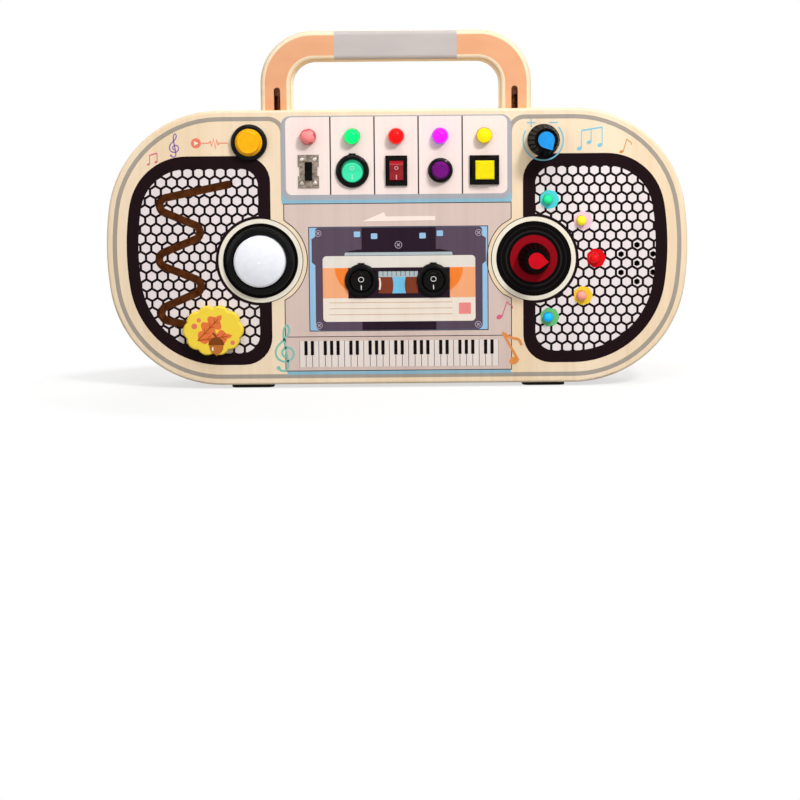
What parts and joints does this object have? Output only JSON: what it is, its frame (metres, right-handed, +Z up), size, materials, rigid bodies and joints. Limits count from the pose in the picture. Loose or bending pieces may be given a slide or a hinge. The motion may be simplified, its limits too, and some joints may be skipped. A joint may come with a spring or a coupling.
{
  "type": "wooden busy board",
  "caption": "Flat wooden activity board shaped like a portable stereo, with a carrying handle, push buttons, rocker and slide switches, turning knobs, lamps and a token on a wavy track",
  "frame": {"origin": "under the middle of the whole object, on the plane that the feet stand on", "axes": "+X to the right as seen by the child in front of it, -Y out of the printed front, +Z up"},
  "size_m": [0.3, 0.052, 0.185],
  "materials": {
    "printed_birch": "pale birch plywood, printed in front, satin varnish",
    "birch": "pale birch plywood, sanded and varnished",
    "handle_birch": "pale birch plywood with a printed grip",
    "rubber": "matt black",
    "steel": "zinc-plated steel",
    "dark_screw": "blackened steel",
    "black_plastic": "black, half gloss",
    "knob_black": "black, satin",
    "white_plastic": "white, glossy",
    "amber": "translucent amber yellow, glossy",
    "purple_cap": "deep purple, glossy",
    "yellow_cap": "lemon yellow, glossy",
    "blue_cap": "sky blue, satin",
    "red_cap": "bright red, satin",
    "green_rocker": "translucent green, glossy",
    "red_rocker": "translucent red, glossy",
    "lamp_pink": "translucent pink",
    "lamp_green": "translucent green",
    "lamp_red": "translucent red",
    "lamp_purple": "translucent purple",
    "lamp_yellow": "translucent yellow",
    "lamp_aqua": "translucent green",
    "lamp_coral": "translucent pink",
    "lamp_blue": "translucent blue",
    "board_green": "green circuit board",
    "paper": "black paper cone",
    "cell": "wrapped dry cell",
    "nylon": "natural nylon",
    "token_yellow": "plywood printed yellow",
    "switch_metal": "nickel-plated steel"
  },
  "bodies": {
    "case": {"front_panel": "printed_birch", "frame_core": "birch", "rear_rim": "birch", "corner_blocks": "birch", "back_panel": "birch", "battery_door_frame": "birch", "battery_door": "birch", "wood_screws": "steel", "battery_holder": "black_plastic", "battery_cells": "cell", "rubber_feet": "rubber", "handle": "handle_birch", "handle_bolts": "steel", "handle_barrel_nuts": "dark_screw", "dome_button_housing": "black_plastic", "dome_button_nut": "black_plastic", "dome_button_microswitch": "black_plastic", "slide_switch_plate": "switch_metal", "slide_switch_body": "black_plastic", "green_rocker_housing": "black_plastic", "red_rocker_housing": "black_plastic", "reel_rocker_housings": "black_plastic", "speaker_frame": "steel", "speaker_cone": "paper", "circuit_board": "board_green", "board_spacers": "nylon", "yellow_button_housing": "black_plastic", "purple_button_housing": "black_plastic", "button_nuts": "black_plastic", "square_button_housing": "black_plastic", "potentiometers": "steel", "potentiometer_nuts": "steel", "lamp_pink": "lamp_pink", "lamp_green": "lamp_green", "lamp_red": "lamp_red", "lamp_purple": "lamp_purple", "lamp_yellow": "lamp_yellow", "small_lamp_green": "lamp_aqua", "small_lamp_yellow": "lamp_yellow", "small_lamp_red": "lamp_red", "small_lamp_pink": "lamp_coral", "small_lamp_blue": "lamp_blue"},
    "yellow_button": {"yellow_button_cap": "amber"},
    "dome_button": {"dome_button_plunger": "white_plastic"},
    "purple_button": {"purple_button_cap": "purple_cap"},
    "square_button": {"square_button_cap": "yellow_cap"},
    "volume_control": {"volume_knob": "knob_black", "volume_knob_cap": "blue_cap", "volume_shaft": "steel"},
    "selector_control": {"selector_knob": "knob_black", "selector_knob_cap": "red_cap", "selector_shaft": "steel"},
    "slide_lever": {"slide_switch_lever": "black_plastic"},
    "green_rocker": {"green_rocker_cap": "green_rocker"},
    "red_rocker": {"red_rocker_cap": "red_rocker"},
    "left_reel_rocker": {"left_reel_cap": "black_plastic"},
    "right_reel_rocker": {"right_reel_cap": "black_plastic"},
    "track_runner": {"track_spool": "nylon"},
    "token_turner": {"token": "token_yellow", "token_screw": "steel"}
  },
  "joints": [
    {"name": "yellow_button_press", "type": "slide", "parent": "case", "child": "yellow_button", "axis": [0, 1, 0], "range_m": [0, 0.002], "stiffness_N_per_m": 400, "springref_m": -0.002},
    {"name": "dome_button_press", "type": "slide", "parent": "case", "child": "dome_button", "axis": [0, 1, 0], "range_m": [0, 0.0035], "stiffness_N_per_m": 300, "springref_m": -0.003},
    {"name": "purple_button_press", "type": "slide", "parent": "case", "child": "purple_button", "axis": [0, 1, 0], "range_m": [0, 0.0015], "stiffness_N_per_m": 400, "springref_m": -0.002},
    {"name": "square_button_press", "type": "slide", "parent": "case", "child": "square_button", "axis": [0, 1, 0], "range_m": [0, 0.0015], "stiffness_N_per_m": 400, "springref_m": -0.002},
    {"name": "volume_turn", "type": "hinge", "parent": "case", "child": "volume_control", "pos_m": [0.0755, -0.01, 0.1275], "axis": [0, -1, 0], "range_deg": [0, 300]},
    {"name": "selector_turn", "type": "hinge", "parent": "case", "child": "selector_control", "pos_m": [0.0705, -0.01, 0.0666], "axis": [0, -1, 0], "range_deg": [-53, 247]},
    {"name": "slide_switch_slide", "type": "slide", "parent": "case", "child": "slide_lever", "axis": [0, 0, 1], "range_m": [0, 0.004]},
    {"name": "green_rocker_rock", "type": "hinge", "parent": "case", "child": "green_rocker", "pos_m": [-0.0226, -0.0109, 0.1125], "axis": [-1, 0, 0], "range_deg": [0, 28]},
    {"name": "red_rocker_rock", "type": "hinge", "parent": "case", "child": "red_rocker", "pos_m": [0, -0.0109, 0.1125], "axis": [-1, 0, 0], "range_deg": [0, 28]},
    {"name": "left_reel_rock", "type": "hinge", "parent": "case", "child": "left_reel_rocker", "pos_m": [-0.0186, -0.0109, 0.056], "axis": [-1, 0, 0], "range_deg": [0, 28]},
    {"name": "right_reel_rock", "type": "hinge", "parent": "case", "child": "right_reel_rocker", "pos_m": [0.0186, -0.0109, 0.056], "axis": [-1, 0, 0], "range_deg": [0, 28]},
    {"name": "token_slide", "type": "slide", "parent": "case", "child": "track_runner", "axis": [-0.9801, 0, 0.1987], "range_m": [0, 0.024]},
    {"name": "token_spin", "type": "hinge", "parent": "track_runner", "child": "token_turner", "pos_m": [-0.0951, -0.0105, 0.031], "axis": [0, -1, 0], "continuous": true}
  ]
}
